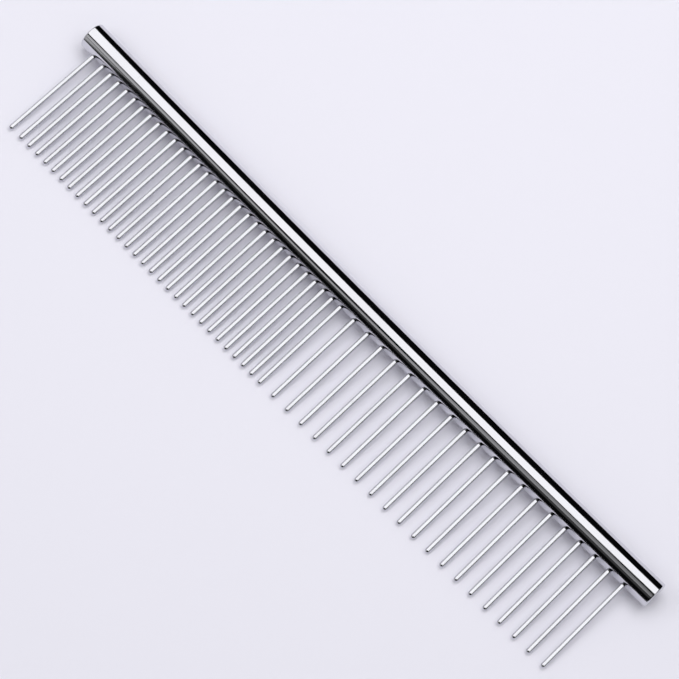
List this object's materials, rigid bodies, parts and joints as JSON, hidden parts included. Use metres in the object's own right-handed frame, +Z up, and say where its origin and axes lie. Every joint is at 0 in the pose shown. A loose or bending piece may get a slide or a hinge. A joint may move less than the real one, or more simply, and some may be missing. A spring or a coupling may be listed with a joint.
{
  "type": "grooming comb",
  "caption": "Flat-lying steel grooming comb: a round polished spine with a fine and a coarse run of straight, round-tipped pins set in one side.",
  "frame": {"origin": "bottom centre of the bounding box, on the surface that the comb lies on, midway along the spine and midway between the spine's back and the pin tips", "axes": "+X along the spine from the fine run to the coarse run, -Y the way the pins point, +Z up from the surface that the comb lies on"},
  "size_m": [0.19, 0.0344, 0.0072],
  "materials": {
    "spine_steel": "mirror-polished steel with faint lengthwise polishing lines",
    "fine_pin_steel": "polished steel wire with faint lengthwise drawing lines",
    "coarse_pin_steel": "polished steel wire with faint lengthwise drawing lines"
  },
  "bodies": {
    "root": {"spine": "spine_steel", "fine_pin_01": "fine_pin_steel", "fine_pin_02": "fine_pin_steel", "fine_pin_03": "fine_pin_steel", "fine_pin_04": "fine_pin_steel", "fine_pin_05": "fine_pin_steel", "fine_pin_06": "fine_pin_steel", "fine_pin_07": "fine_pin_steel", "fine_pin_08": "fine_pin_steel", "fine_pin_09": "fine_pin_steel", "fine_pin_10": "fine_pin_steel", "fine_pin_11": "fine_pin_steel", "fine_pin_12": "fine_pin_steel", "fine_pin_13": "fine_pin_steel", "fine_pin_14": "fine_pin_steel", "fine_pin_15": "fine_pin_steel", "fine_pin_16": "fine_pin_steel", "fine_pin_17": "fine_pin_steel", "fine_pin_18": "fine_pin_steel", "fine_pin_19": "fine_pin_steel", "fine_pin_20": "fine_pin_steel", "fine_pin_21": "fine_pin_steel", "fine_pin_22": "fine_pin_steel", "fine_pin_23": "fine_pin_steel", "fine_pin_24": "fine_pin_steel", "fine_pin_25": "fine_pin_steel", "fine_pin_26": "fine_pin_steel", "fine_pin_27": "fine_pin_steel", "fine_pin_28": "fine_pin_steel", "fine_pin_29": "fine_pin_steel", "fine_pin_30": "fine_pin_steel", "fine_pin_31": "fine_pin_steel", "coarse_pin_01": "coarse_pin_steel", "coarse_pin_02": "coarse_pin_steel", "coarse_pin_03": "coarse_pin_steel", "coarse_pin_04": "coarse_pin_steel", "coarse_pin_05": "coarse_pin_steel", "coarse_pin_06": "coarse_pin_steel", "coarse_pin_07": "coarse_pin_steel", "coarse_pin_08": "coarse_pin_steel", "coarse_pin_09": "coarse_pin_steel", "coarse_pin_10": "coarse_pin_steel", "coarse_pin_11": "coarse_pin_steel", "coarse_pin_12": "coarse_pin_steel", "coarse_pin_13": "coarse_pin_steel", "coarse_pin_14": "coarse_pin_steel", "coarse_pin_15": "coarse_pin_steel", "coarse_pin_16": "coarse_pin_steel", "coarse_pin_17": "coarse_pin_steel", "coarse_pin_18": "coarse_pin_steel", "coarse_pin_19": "coarse_pin_steel", "coarse_pin_20": "coarse_pin_steel"}
  },
  "joints": []
}
